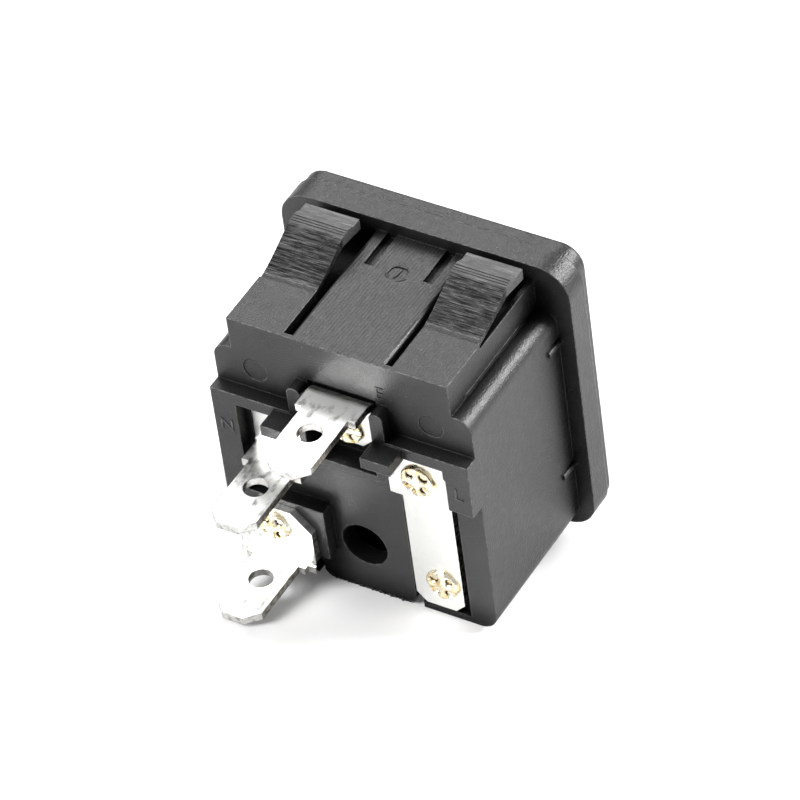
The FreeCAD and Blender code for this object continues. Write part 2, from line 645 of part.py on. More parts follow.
def makePin(label, x, z, reach, headRadius):
    # A flat blade on a round tail that goes through the rear wall and is staked over.
    body = newBody(label)
    halfX, halfZ = size.pinThickness / 2, size.pinHeight / 2
    blade = rectangle(x - halfX, z - halfZ, x + halfX, z + halfZ)
    addPad(body, "Blade", "front", inletFloor, reach, False, [blade])
    names = edgesAtLevel(body.Tip.Shape, 1, inletFloor - reach)
    smooth(body, "BladeEnd", "Chamfer", size.pinBevel, names)
    tail = [(x, z, size.tailRadius)]
    addPad(body, "Tail", "front", inletFloor, size.bodyDepth - inletFloor, True, circles=tail)
    addStakedHead(body, x, z, size.bodyDepth, headRadius)
    return body


def addStakedHead(body, x, z, seat, radius):
    addPad(body, "Head", "front", seat, size.headHeight, True, circles=[(x, z, radius)])
    names = edgesAtLevel(body.Tip.Shape, 1, seat + size.headHeight)
    smooth(body, "HeadRound", "Fillet", size.headRound, names)
    out = radius * size.stakeOut.value * 0.5**0.5
    pit = radius * size.stakeSize.value
    pits = [(x + out * dx, z + out * dz, pit) for dx in (-1, 1) for dz in (-1, 1)]
    level = seat + size.headHeight - size.stakeDepth
    addPocket(body, "StakedPits", "front", level, size.stakeDepth, True, circles=pits)


def makeStrap():
    body = newBody("line_strap")
    top = poleLevel + size.strapHeadRise
    step = poleLevel - size.strapHeadFoot
    lobeTop = step + strapLobeHeight
    cut, end = size.strapCut, -strapBottom
    outline = [
        (strapHeadOuter, top - cut), (strapHeadOuter, step), (strapOuterEdge, step - size.channelFit),
        (strapOuterEdge, end + cut), (strapOuterEdge + cut, end), (strapInnerEdge - cut, end),
        (strapInnerEdge, end + cut), (strapInnerEdge, step), (strapLobeEdge, step),
        (strapLobeEdge, lobeTop), (strapHeadInner, lobeTop), (strapHeadInner, top - cut),
        (strapHeadInner - cut, top), (strapHeadOuter + cut, top),
    ]
    addPad(body, "Strap", "front", seatLevel, size.sheetThickness, True, [outline])
    holes = [
        (-halfPitch, poleLevel, size.tailRadius + size.tailFit),
        (-clipOut, lineRivetLevel, size.clipRivetRadius + size.tailFit),
    ]
    addPocket(body, "StrapHoles", "front", seatLevel, size.sheetThickness, True, circles=holes)
    return body


def makeTerminal(label, x, tail, seat, tabTop, freeEnd, plateHalf, bend, cuts, holeRadius):
    # One bent sheet: a plate on the rear wall, and a tab that runs straight back from the
    # plate's edge. tail is the level of the hole for the pin or rivet, freeEnd is the level
    # of the plate's other edge, bend is the inside radius, and cuts are the outlines trimmed
    # off the plate.
    body = newBody(label)
    thick = size.sheetThickness
    bendsUp = tabTop.value > tail.value
    tabEnd = size.bodyDepth + size.tabReach
    tabShoulder = size.bodyDepth + size.shoulderReach
    tabFoot = tabTop - thick
    outer = tabTop if bendsUp else tabFoot
    inner = tabFoot if bendsUp else tabTop
    profile = [
        (seat, freeEnd), (seat + thick, freeEnd), (seat + thick, inner),
        (tabEnd, inner), (tabEnd, outer), (seat, outer),
    ]
    half = size.rootWidth / 2
    widest = half if half.value > plateHalf.value else plateHalf
    addPad(body, "Sheet", "side", x - widest, widest * 2, True, [profile])
    names = edgesAlong(body.Tip.Shape, 0, [(seat + thick, inner)])
    smooth(body, "BendInside", "Fillet", bend, names)
    names = edgesAlong(body.Tip.Shape, 0, [(seat, outer)])
    smooth(body, "BendOutside", "Fillet", bend + thick, names)
    low = tabFoot if bendsUp else freeEnd
    far = widest + overcut
    narrow = size.tabWidth / 2
    corner = size.tabCorner
    past = tabEnd + overcut
    waste = [
        (x + narrow, tabShoulder), (x + far, tabShoulder), (x + far, past),
        (x + narrow - corner, past), (x + narrow - corner, tabEnd),
        (x + narrow, tabEnd - corner),
    ]
    otherWaste = [(x * 2 - px, py) for px, py in reversed(waste)]
    tabLevel = tabFoot
    addPocket(body, "TabSides", "top", tabLevel, thick, True, [waste, otherWaste])
    if widest.value > half.value:
        start = seat + thick + bend
        strip = rectangle(x + half, start, x + far, tabShoulder + overcut)
        otherStrip = rectangle(x - far, start, x - half, tabShoulder + overcut)
        addPocket(body, "TabRoot", "top", tabLevel, thick, True, [strip, otherStrip])
    addPocket(body, "PlateCorners", "front", seat, thick, True, cuts)
    hole = [(x, size.bodyDepth + size.tabHoleReach, size.tabHoleRadius)]
    addPocket(body, "TabHole", "top", tabLevel, thick, True, circles=hole)
    hole = [(x, tail, holeRadius)]
    addPocket(body, "PlateHole", "front", seat, thick, True, circles=hole)
    return body


def cornerCuts(x, half, edge, towards, cutX, cutZ):
    # Triangles off both corners of a plate's free edge. towards is 1 where the plate lies
    # above the edge.
    spare = overcut * towards
    right = [
        (x + half - cutX, edge - spare), (x + half + overcut, edge - spare),
        (x + half + overcut, edge + cutZ * towards), (x + half, edge + cutZ * towards),
        (x + half - cutX, edge),
    ]
    if towards < 0:
        right.reverse()
    return [right, [(x * 2 - px, pz) for px, pz in reversed(right)]]


def makeEarthTerminal():
    half = size.rootWidth / 2
    tabTop = earthLevel + size.earthTabRise
    freeEnd = earthLevel - size.earthPlateDrop
    cuts = cornerCuts(zero, half, freeEnd, 1, size.plateCut, size.plateCut)
    radius = size.tailRadius + size.tailFit
    return makeTerminal(
        "earth_terminal", zero, earthLevel, seatLevel, tabTop, freeEnd, half,
        size.earthBendInside, cuts, radius,
    )


def makeNeutralTerminal():
    half = size.neutralPlateWidth / 2
    tabTop = poleLevel - size.neutralTabDrop
    freeEnd = poleLevel + size.neutralPlateRise
    cut = size.plateCut / 2
    outerCorner, _ = cornerCuts(halfPitch, half, freeEnd, -1, cut, cut)
    far, near = halfPitch - half - overcut, size.recessInner + size.channelFit
    foot = tabTop - size.sheetThickness - overcut
    innerSide = [
        (far, foot), (near, foot), (near, freeEnd - cut), (near + cut, freeEnd),
        (near + cut, freeEnd + overcut), (far, freeEnd + overcut),
    ]
    cuts = [outerCorner, innerSide]
    radius = size.tailRadius + size.tailFit
    return makeTerminal(
        "neutral_terminal", halfPitch, poleLevel, seatLevel, tabTop, freeEnd, half,
        size.bendInside, cuts, radius,
    )


def makeLineTerminal():
    half = size.linePlateWidth / 2
    tabTop = loadRivetLevel - size.lineTabDrop
    freeEnd = loadRivetLevel + size.linePlateRise
    cut = size.linePlateCut
    cuts = cornerCuts(clipOut, half, freeEnd, -1, cut, cut)
    foot = tabTop - size.sheetThickness
    cuts += cornerCuts(clipOut, half, foot, 1, half - size.rootWidth / 2, size.lineFootCut)
    radius = size.clipRivetRadius + size.tailFit
    return makeTerminal(
        "line_terminal", clipOut, loadRivetLevel, raisedLevel, tabTop, freeEnd, half,
        size.bendInside, cuts, radius,
    )


def makeClip(label, x):
    # A spring clip: a plate on the bay's end wall and two arms that grip the fuse's cap.
    body = newBody(label)
    thick = size.clipThickness
    gap = size.fuseRadius + size.clipFit
    middle = -size.fuseDrop
    rear, mouth = bayEnd, fuseDistance - size.clipReach
    outline = [
        (rear, middle - gap - thick), (rear, middle + gap + thick), (mouth, middle + gap + thick),
        (mouth, middle + gap), (rear - thick, middle + gap), (rear - thick, middle - gap),
        (mouth, middle - gap), (mouth, middle - gap - thick),
    ]
    addPad(body, "Clip", "side", x - size.clipWidth / 2, size.clipWidth, True, [outline])
    return body


def drillClip(body, x, z):
    hole = [(x, z, size.clipRivetRadius + size.tailFit)]
    level = bayEnd - size.clipThickness
    addPocket(body, "RivetHole", "front", level, size.clipThickness, True, circles=hole)


def makeClipRivet(label, x, z, seat):
    # From the head inside the clip, through the end wall, to the head on the outer sheet.
    body = newBody(label)
    inside = bayEnd - size.clipThickness
    head = [(x, z, size.innerHeadRadius)]
    addPad(body, "InnerHead", "front", inside, size.innerHeadHeight, False, circles=head)
    shank = [(x, z, size.clipRivetRadius)]
    addPad(body, "Shank", "front", inside, seat - inside, True, circles=shank)
    addStakedHead(body, x, z, seat, size.outerHeadRadius)
    return body


def makeDrawer():
    body = newBody("fuse_drawer")
    fit = size.drawerFit
    halfWidth = halfBay - fit
    roof, foot = bayRoof - fit, bayFoot + fit
    plateRear = flangeFront + size.facePlateThickness
    halfPlate = halfBay + size.facePlateLap
    plate = rectangle(-halfPlate, facePlateFoot, halfPlate, roof)
    addPad(body, "FacePlate", "front", flangeFront, size.facePlateThickness, True, [plate])
    names = edgesAtLevel(body.Tip.Shape, 1, flangeFront)
    smooth(body, "FacePlateRound", "Fillet", size.flangeEdgeRound / 2, names)
    block = rectangle(-halfWidth, foot, halfWidth, roof)
    addPad(body, "Block", "front", plateRear, drawerEnd - plateRear, True, [block])
    lip = rectangle(-size.pullWidth / 2, roof - size.pullRise, size.pullWidth / 2, roof + size.pullRise)
    lipFront = plateRear - size.pullThickness
    addPad(body, "PullLip", "front", lipFront, size.pullThickness, True, [lip])
    spareFront = size.spareDistance - size.spareWidth / 2
    halfSpare = halfFuse + size.spareEndRoom
    spare = rectangle(-halfSpare, spareFront, halfSpare, spareFront + size.spareWidth)
    depth = roof - size.spareRoof - foot
    addPocket(body, "SparePlace", "top", foot, depth, True, [spare])
    window = rectangle(
        size.cradleHalf, fuseDistance - size.cradleDepth, halfWidth - size.cheekWidth,
        drawerEnd + overcut,
    )
    addPocket(body, "ClipWindows", "top", foot, roof - foot, True, bothSides(window))
    middle = -size.fuseDrop
    bore = size.glassRadius + size.cradleFit
    length = size.cradleHalf * 2
    circle = [(fuseDistance, middle, bore)]
    addPocket(body, "Cradle", "side", -size.cradleHalf, length, True, circles=circle)
    mouth = rectangle(
        fuseDistance, middle - size.cradleMouth, drawerEnd + overcut, middle + size.cradleMouth
    )
    addPocket(body, "CradleMouth", "side", -size.cradleHalf, length, True, [mouth])
    return body


def addCylinder(name, radius, length, start):
    # Along X on the fuse's axis, from a start on X.
    cylinder = document.addObject("Part::Cylinder", name)
    cylinder.setExpression("Radius", radius.text)
    cylinder.setExpression("Height", length.text)
    cylinder.Placement.Rotation = FreeCAD.Rotation(FreeCAD.Vector(0, 1, 0), 90)
    cylinder.setExpression("Placement.Base.x", start.text)
    cylinder.setExpression("Placement.Base.y", fuseDistance.text)
    cylinder.setExpression("Placement.Base.z", (-size.fuseDrop).text)
    return cylinder


def addHollow(label, outside, inside):
    hollow = document.addObject("Part::Cut", label)
    hollow.Base = outside
    hollow.Tool = inside
    hollow.Label = label
    return hollow


def makeFuse():
    half = halfFuse
    inner = half - size.capEnd
    glassLength = inner * 2
    tube = addCylinder("GlassOutside", size.glassRadius, glassLength, -inner)
    bore = addCylinder("GlassInside", size.glassRadius - size.glassWall, glassLength, -inner)
    pieces = [addHollow("fuse_glass", tube, bore)]
    hollowLength = size.capLength - size.capEnd
    for label, start, hollowStart in (
        ("line_fuse_cap", -half, -inner),
        ("load_fuse_cap", half - size.capLength, half - size.capLength),
    ):
        outside = addCylinder(label + "Outside", size.fuseRadius, size.capLength, start)
        insideRadius = size.glassRadius + size.glassFit
        inside = addCylinder(label + "Inside", insideRadius, hollowLength, hollowStart)
        pieces.append(addHollow(label, outside, inside))
    wire = addCylinder("fuse_wire", size.wireRadius, glassLength, -inner)
    wire.Label = "fuse_wire"
    pieces.append(wire)
    return pieces


def makeParts():
    parts = [makeHousing()]
    parts.append(makePin("line_pin", -halfPitch, poleLevel, size.pinReach, size.pinHeadRadius))
    neutralHead = size.neutralHeadRadius
    parts.append(makePin("neutral_pin", halfPitch, poleLevel, size.pinReach, neutralHead))
    parts.append(makePin("earth_pin", zero, earthLevel, size.earthReach, size.pinHeadRadius))
    parts.append(makeStrap())
    parts += [makeEarthTerminal(), makeNeutralTerminal(), makeLineTerminal()]
    line = makeClip("line_fuse_clip", -clipOut)
    drillClip(line, -clipOut, lineRivetLevel)
    load = makeClip("load_fuse_clip", clipOut)
    drillClip(load, clipOut, loadRivetLevel)
    parts += [line, load]
    parts.append(makeClipRivet("line_clip_rivet", -clipOut, lineRivetLevel, size.bodyDepth))
    loadSeat = raisedLevel + size.sheetThickness
    parts.append(makeClipRivet("load_clip_rivet", clipOut, loadRivetLevel, loadSeat))
    parts.append(makeDrawer())
    parts += makeFuse()
    return parts


def checkDocument(parts):
    for item in document.Objects:
        if "Invalid" in item.State or "Error" in item.State:
            raise RuntimeError(f"{item.Label} failed: {item.State}")
    for part in parts:
        shape = part.Shape
        if shape.isNull() or not shape.isValid() or len(shape.Solids) != 1:
            raise RuntimeError(f"{part.Label} is not one sound solid")


parts = makeParts()
document.recompute()
checkDocument(parts)
os.makedirs("parts", exist_ok=True)
for part in parts:
    part.Shape.exportStep(f"parts/{part.Label}.step")
    print(part.Label, round(part.Shape.Volume, 2))
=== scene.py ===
import bmesh
import bpy
import math
import numpy as np
from mathutils import Matrix, Vector


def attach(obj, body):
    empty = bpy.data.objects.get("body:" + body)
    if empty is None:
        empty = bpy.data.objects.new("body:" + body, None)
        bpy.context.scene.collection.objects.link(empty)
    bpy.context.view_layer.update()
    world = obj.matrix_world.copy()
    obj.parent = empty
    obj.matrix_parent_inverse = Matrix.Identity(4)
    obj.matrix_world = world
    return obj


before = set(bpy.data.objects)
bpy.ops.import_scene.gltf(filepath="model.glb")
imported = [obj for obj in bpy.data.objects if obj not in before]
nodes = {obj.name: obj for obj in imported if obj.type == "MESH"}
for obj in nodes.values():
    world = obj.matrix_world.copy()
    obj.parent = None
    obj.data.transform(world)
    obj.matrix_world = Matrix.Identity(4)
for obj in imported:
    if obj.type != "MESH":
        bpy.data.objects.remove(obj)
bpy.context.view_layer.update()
module = "module"
scene = bpy.context.scene
mm = 0.001
print("inlet: frame loaded")


def nodeBox(name):
    # the lowest and the highest corner of a CAD node's mesh
    mesh = nodes[name].data
    corners = np.empty(len(mesh.vertices) * 3, np.float32)
    mesh.vertices.foreach_get("co", corners)
    corners = corners.reshape(-1, 3).astype(float)
    return corners.min(axis=0), corners.max(axis=0)


strapLow, strapHigh = nodeBox("line_strap")
sheetThick = strapHigh[1] - strapLow[1]
rearWall = strapHigh[1]  # the strap lies in the rear wall, flush with it

# the camera, fitted to the photograph: its place in metres and its three directions
view = {
    "place": (-0.2373, 0.3396, 0.3846),
    "right": (-0.8631, -0.4939, -0.1057),
    "up": (0.2753, -0.6354, 0.7214),
    "ahead": (0.4235, -0.5936, -0.6844),
    "lens": 275.0,
    "sensor": 36.0,
    "clip": (0.01, 20.0),
}


def makeCamera():
    data = bpy.data.cameras.new("photoCamera")
    data.lens = view["lens"]
    data.sensor_width = view["sensor"]
    data.clip_start, data.clip_end = view["clip"]
    camera = bpy.data.objects.new("photoCamera", data)
    turn = Matrix((Vector(view["right"]), Vector(view["up"]), -Vector(view["ahead"]))).transposed()
    camera.matrix_world = Matrix.Translation(view["place"]) @ turn.to_4x4()
    scene.collection.objects.link(camera)
    scene.camera = camera


studio = {
    "floorNormal": (0.0, -0.2, 0.98),  # the part lies on its lower latches and lower rear edge
    "floorTouch": (0.0, 0.0041, -0.0179),
    "floorHalf": 3.0,
    "floorColor": (0.88, 0.88, 0.88),
    "floorRough": 0.9,
    "floorShine": 0.1,
    "floorGlow": 0.06,  # only where the camera sees the floor
    "worldColor": (0.98, 0.99, 1.0),
    "worldLight": 0.14,
    "worldMirror": 0.50,  # the world as mirrors see it
    "aim": (0.0, 0.006, 0.0),
    # each softbox: place, width, height, watts. The first shines off the faces that look up,
    # the second off the round shoulder, and the third off the earth tab onto the rear wall.
    "softboxes": {
        "topBox": ((0.36, -0.505, 0.582), 0.40, 0.40, 2.7),
        "shoulderBox": ((-0.52, -0.515, 0.43), 0.42, 0.42, 12.5),
        "fillBox": ((0.34, 0.48, 0.55), 0.40, 0.40, 8.5),
    },
}


def softbox(name, place, width, height, watts):
    lamp = bpy.data.lights.new(name, "AREA")
    lamp.shape = "RECTANGLE"
    lamp.size, lamp.size_y = width, height
    lamp.energy = watts
    thing = bpy.data.objects.new(name, lamp)
    scene.collection.objects.link(thing)
    ahead = Vector(studio["aim"]) - Vector(place)
    turn = ahead.to_track_quat("-Z", "Y").to_matrix().to_4x4()
    thing.matrix_world = Matrix.Translation(place) @ turn


def makeFloor():
    up = Vector(studio["floorNormal"]).normalized()
    turn = up.to_track_quat("Z", "Y").to_matrix().to_4x4()
    half = studio["floorHalf"]
    corners = [(-half, -half, 0), (half, -half, 0), (half, half, 0), (-half, half, 0)]
    mesh = bpy.data.meshes.new("paleFloor")
    mesh.from_pydata(corners, [], [(0, 1, 2, 3)])
    floor = bpy.data.objects.new("paleFloor", mesh)
    scene.collection.objects.link(floor)
    floor.matrix_world = Matrix.Translation(studio["floorTouch"]) @ turn
    g = finish("paleFloorPaint")
    g.put("Base Color", (*studio["floorColor"], 1))
    g.put("Roughness", studio["floorRough"])
    g.put("Specular IOR Level", studio["floorShine"])
    g.put("Emission Color", (1, 1, 1, 1))
    path = g.add("ShaderNodeLightPath")
    seen = g.math("MAXIMUM", path.outputs["Is Camera Ray"], path.outputs["Is Transmission Ray"])
    g.put("Emission Strength", g.math("MULTIPLY", seen, studio["floorGlow"]))
    mesh.materials.append(g.material)


def makeWorld():
    # a soft grey light all round, brighter in reflections, seen as plain white by the camera
    world = bpy.data.worlds.new("studioWorld")
    scene.world = world
    world.use_nodes = True
    tree = world.node_tree
    tree.nodes.clear()
    out = tree.nodes.new("ShaderNodeOutputWorld")
    mix = tree.nodes.new("ShaderNodeMixShader")
    light = tree.nodes.new("ShaderNodeBackground")
    white = tree.nodes.new("ShaderNodeBackground")
    path = tree.nodes.new("ShaderNodeLightPath")
    seen = tree.nodes.new("ShaderNodeMath")
    seen.operation = "MAXIMUM"
    tree.links.new(path.outputs["Is Camera Ray"], seen.inputs[0])
    tree.links.new(path.outputs["Is Transmission Ray"], seen.inputs[1])
    glow = tree.nodes.new("ShaderNodeMapRange")
    tree.links.new(path.outputs["Is Glossy Ray"], glow.inputs["Value"])
    glow.inputs["To Min"].default_value = studio["worldLight"]
    glow.inputs["To Max"].default_value = studio["worldMirror"]
    tree.links.new(glow.outputs["Result"], light.inputs["Strength"])
    light.inputs["Color"].default_value = (*studio["worldColor"], 1)
    white.inputs["Color"].default_value = (1, 1, 1, 1)
    white.inputs["Strength"].default_value = 1.0
    tree.links.new(seen.outputs[0], mix.inputs["Fac"])
    tree.links.new(light.outputs[0], mix.inputs[1])
    tree.links.new(white.outputs[0], mix.inputs[2])
    tree.links.new(mix.outputs[0], out.inputs["Surface"])


def makeStudio():
    makeFloor()
    makeWorld()
    for name, (place, width, height, watts) in studio["softboxes"].items():
        softbox(name, place, width, height, watts)
    scene.view_settings.view_transform = "Standard"


class finish:
    # a material with one Principled shader, and short ways to add nodes to it
    def __init__(self, name):
        self.material = bpy.data.materials.new(name)
        self.material.use_nodes = True
        self.tree = self.material.node_tree
        self.tree.nodes.clear()
        self.out = self.add("ShaderNodeOutputMaterial")
        self.shader = self.add("ShaderNodeBsdfPrincipled")
        self.link(self.shader.outputs["BSDF"], self.out.inputs["Surface"])

    def add(self, kind, **settings):
        node = self.tree.nodes.new(kind)
        for key, value in settings.items():
            setattr(node, key, value)
        return node

    def link(self, source, target):
        self.tree.links.new(source, target)

    def feed(self, socket, value):
        # a node's output is linked, and a plain value is set on the socket itself
        if isinstance(value, bpy.types.NodeSocket):
            self.link(value, socket)
        else:
            socket.default_value = value

    def put(self, name, value):
        self.feed(self.shader.inputs[name], value)

    def math(self, operation, first, second=0.0, clamp=False):
        node = self.add("ShaderNodeMath", operation=operation, use_clamp=clamp)
        self.feed(node.inputs[0], first)
        self.feed(node.inputs[1], second)
        return node.outputs[0]

    def times(self, first, second):
        return self.math("MULTIPLY", first, second)

    def remap(self, value, low, high, toLow=0.0, toHigh=1.0):
        node = self.add("ShaderNodeMapRange", clamp=True)
        self.feed(node.inputs["Value"], value)
        sockets = ("From Min", "From Max", "To Min", "To Max")
        for socket, number in zip(sockets, (low, high, toLow, toHigh)):
            node.inputs[socket].default_value = number
        return node.outputs["Result"]

    def blend(self, share, first, second):
        node = self.add("ShaderNodeMix", data_type="RGBA")
        self.feed(node.inputs["Factor"], share)
        colors = [s for s in node.inputs if s.type == "RGBA"]
        for socket, color in zip(colors, (first, second)):
            self.feed(socket, color if isinstance(color, bpy.types.NodeSocket) else (*color, 1))
        return next(s for s in node.outputs if s.type == "RGBA")

    def spot(self, stretch=(1, 1, 1), turn=(0, 0, 0)):
        coords = self.add("ShaderNodeTexCoord")
        mapping = self.add("ShaderNodeMapping")
        mapping.inputs["Scale"].default_value = stretch
        mapping.inputs["Rotation"].default_value = turn
        self.link(coords.outputs["Object"], mapping.inputs["Vector"])
        return mapping.outputs["Vector"]

    def axes(self, vector):
        node = self.add("ShaderNodeSeparateXYZ")
        self.link(vector, node.inputs[0])
        return node.outputs["X"], node.outputs["Y"], node.outputs["Z"]

    def noise(self, size, detail=3.0, stretch=(1, 1, 1), turn=(0, 0, 0)):
        node = self.add("ShaderNodeTexNoise")
        self.link(self.spot(stretch, turn), node.inputs["Vector"])
        node.inputs["Scale"].default_value = 1.0 / size
        node.inputs["Detail"].default_value = detail
        return node.outputs["Fac"]

    def softEdges(self, radius):
        node = self.add("ShaderNodeBevel", samples=6)
        node.inputs["Radius"].default_value = radius
        return node.outputs["Normal"]

    def bump(self, height, distance, normal):
        node = self.add("ShaderNodeBump")
        node.inputs["Strength"].default_value = 1.0
        node.inputs["Distance"].default_value = distance
        self.feed(node.inputs["Height"], height)
        self.link(normal, node.inputs["Normal"])
        return node.outputs["Normal"]

    def openShare(self, reach, low, high):
        # 1 in the open and on outer edges, falling to 0 in inner corners and gaps
        node = self.add("ShaderNodeAmbientOcclusion", samples=8)
        node.inputs["Distance"].default_value = reach
        return self.remap(node.outputs["AO"], low, high)

    def edgeShare(self, rounded):
        # 0 on flat ground, rising to 1 where the rounded normal leaves the flat one
        flat = self.add("ShaderNodeNewGeometry").outputs["Normal"]
        dot = self.add("ShaderNodeVectorMath", operation="DOT_PRODUCT")
        self.link(flat, dot.inputs[0])
        self.link(rounded, dot.inputs[1])
        return self.remap(dot.outputs["Value"], 0.995, 0.88)


# where a pair of places stands below, a pattern fades in from the first to the second
ridge = {
    "aboveBlock": (14.82 * mm, 14.95 * mm),
    "belowCasing": (-15.47 * mm, -15.6 * mm),
    "besideRib": (5.5 * mm, 5.6 * mm),
    "rampRear": (9.9 * mm, 9.7 * mm),
    "rampFront": (4.5 * mm, 4.2 * mm),
    "crestFront": (0.6 * mm, 1.0 * mm),
    "crestRear": (4.6 * mm, 4.1 * mm),
    "size": 0.085 * mm,
    "brokenSize": 0.30 * mm,
    "stretch": (0.035, 1, 1),
    "brokenStretch": (0.25, 1, 1),
    "depth": 0.15 * mm,
    "crestDepth": 0.35,  # of the ramps' depth
    # the colour of the painted highlight on the ridge tops and crests
    "color": (0.22, 0.22, 0.22),
    "crestHighlight": 0.40,
}


def latchRidges(g):
    # fine uneven ridges across the latch arms: noise drawn out along X, only where the arms
    # stand out past the casing above and below it, and only left and right of the middle rib.
    # Gives their height, the share of painted highlight, paler on the ridge tops and most of it on the
    # crests, and the share of painted shade, dark and dull, low between the ridges of the ramps.
    x, y, z = g.axes(g.spot())
    outside = g.math("MAXIMUM", g.remap(z, *ridge["aboveBlock"]), g.remap(z, *ridge["belowCasing"]))
    aside = g.remap(g.math("ABSOLUTE", x), *ridge["besideRib"])
    lengthwise = g.times(g.remap(y, *ridge["rampRear"]), g.remap(y, *ridge["crestFront"]))
    within = g.times(g.times(outside, aside), lengthwise)
    lines = g.noise(ridge["size"], 4, stretch=ridge["stretch"])
    broken = g.noise(ridge["brokenSize"], 4, stretch=ridge["brokenStretch"])
    height = g.math("ADD", lines, g.times(broken, 0.5))
    crest = g.times(g.remap(y, *ridge["crestRear"]), ridge["crestHighlight"])
    # painted highlight: paler on the ridge tops, and more on the crests
    pale = g.math("ADD", g.remap(height, 0.84, 1.0, 0.0, 0.6), crest)
    pale = g.math("MULTIPLY", pale, within, clamp=True)
    deep = g.times(within, g.remap(y, *ridge["rampFront"], 1.0, ridge["crestDepth"]))
    # painted shade: dark and dull low between the ridges
    ridgeShade = g.times(g.remap(height, 0.82, 0.66), deep)
    return g.times(height, deep), pale, ridgeShade


toolLine = {
    "pitch": 0.34 * mm,
    "depth": 0.022 * mm,
    # the paler colour of the painted sheen along the tool lines
    "color": (0.070, 0.070, 0.070),
    "paintedSheenShare": 0.5,
    "slant": 0.05,
    "ribTopFrom": (14.5 * mm, 14.6 * mm),
    "ribTopTo": (14.9 * mm, 14.8 * mm),
    "ribEdge": (4.9 * mm, 5.0 * mm),
    "besideRib": 0.25,  # of the rib's strength
    "brokenSize": 1.2 * mm,
}


def toolLines(g):
    # tool lines run front to back on the middle rib, and fainter on the block beside it
    waveAtScaleOne = math.pi / 10
    lines = g.add("ShaderNodeTexWave", bands_direction="X")
    g.link(g.spot(turn=(0, 0, toolLine["slant"])), lines.inputs["Vector"])
    lines.inputs["Scale"].default_value = waveAtScaleOne / toolLine["pitch"]
    lines.inputs["Distortion"].default_value = 0.8
    lines.inputs["Detail"].default_value = 1.5
    x, _, z = g.axes(g.spot())
    top = g.times(g.remap(z, *toolLine["ribTopFrom"]), g.remap(z, *toolLine["ribTopTo"]))
    onRib = g.remap(g.math("ABSOLUTE", x), *toolLine["ribEdge"], 1.0, toolLine["besideRib"])
    broken = g.remap(g.noise(toolLine["brokenSize"], 3), 0.35, 0.65, 0.5, 1.0)
    strength = g.times(g.times(top, onRib), broken)
    return g.times(lines.outputs["Fac"], strength)


plastic = {
    "color": (0.010, 0.010, 0.011),
    "paler": (0.016, 0.016, 0.016),
    "cloudSize": 4.0 * mm,
    "rough": (0.30, 0.40),
    "smearSize": 0.7 * mm,
    "ior": 1.5,
    "shine": 0.5,
    "edgeRadius": 0.19 * mm,
    # the pale colour of wear and of the painted highlight on outer edges
    "edgeColor": (0.30, 0.30, 0.30),
    "edgeShare": 0.6,
    "wearAndHighlightSize": 0.45 * mm,
    "wearAndHighlightReach": 0.35 * mm,
    "speckColor": (0.45, 0.45, 0.45),
    "speckShare": 0.5,
    "speckSize": 0.16 * mm,
    "grain": 0.17 * mm,
    "grainDepth": 0.055 * mm,
    "swellSize": 1.8 * mm,
    "swellDepth": 0.008 * mm,
    # painted shade in gaps: its colour, share, reach and loss of shine
    "gapShadeColor": (0.001, 0.001, 0.001),
    "gapShadeShare": 0.8,
    "gapShadeReach": 5.0 * mm,
    "gapShadeLoss": 0.40,  # of the shine
}


def plasticBase(g, rounded):
    # cloudy near-black; paler on outer edges, from wear and a painted highlight along them; and paler
    # in single specks
    cloud = g.remap(g.noise(plastic["cloudSize"], 4), 0.3, 0.7)
    base = g.blend(cloud, plastic["color"], plastic["paler"])
    wearAndHighlight = g.remap(g.noise(plastic["wearAndHighlightSize"], 5), 0.40, 0.66)
    wearAndHighlight = g.times(g.edgeShare(rounded), wearAndHighlight)
    wearAndHighlight = g.times(wearAndHighlight, g.openShare(plastic["wearAndHighlightReach"], 0.78, 0.95))
    # wear and painted highlight along the outer edges
    base = g.blend(g.times(wearAndHighlight, plastic["edgeShare"]), base, plastic["edgeColor"])
    speck = g.remap(g.noise(plastic["speckSize"], 1), 0.765, 0.79)
    return g.blend(g.times(speck, plastic["speckShare"]), base, plastic["speckColor"])


def mouldedPlastic(name, latches=False):
    g = finish(name)
    rounded = g.softEdges(plastic["edgeRadius"])
    lines = toolLines(g)
    base = plasticBase(g, rounded)
    # painted sheen: paler along the tool lines
    base = g.blend(g.times(lines, toolLine["paintedSheenShare"]), base, toolLine["color"])
    # painted shade: darker and duller in gaps and next to the flange
    gapShade = g.math("SUBTRACT", 1.0, g.openShare(plastic["gapShadeReach"], 0.45, 0.85))
    if latches:
        ridges, pale, ridgeShade = latchRidges(g)
        # painted highlight on the latch ridges and crests
        base = g.blend(pale, base, ridge["color"])
        # the painted shade between the ridges joins the painted shade in gaps
        gapShade = g.math("MAXIMUM", gapShade, ridgeShade)
    base = g.blend(g.times(gapShade, plastic["gapShadeShare"]), base, plastic["gapShadeColor"])
    g.put("Base Color", base)
    g.put("Roughness", g.remap(g.noise(plastic["smearSize"], 5), 0.25, 0.75, *plastic["rough"]))
    g.put("IOR", plastic["ior"])
    # the painted shade also takes shine away in the gaps
    g.put("Specular IOR Level", g.math("SUBTRACT", plastic["shine"], g.times(gapShade, plastic["gapShadeLoss"])))
    normal = g.bump(g.noise(plastic["grain"], 2), plastic["grainDepth"], rounded)
    normal = g.bump(g.noise(plastic["swellSize"], 2), plastic["swellDepth"], normal)
    normal = g.bump(lines, toolLine["depth"], normal)
    if latches:
        normal = g.bump(ridges, ridge["depth"], normal)
    g.put("Normal", normal)
    return g.material


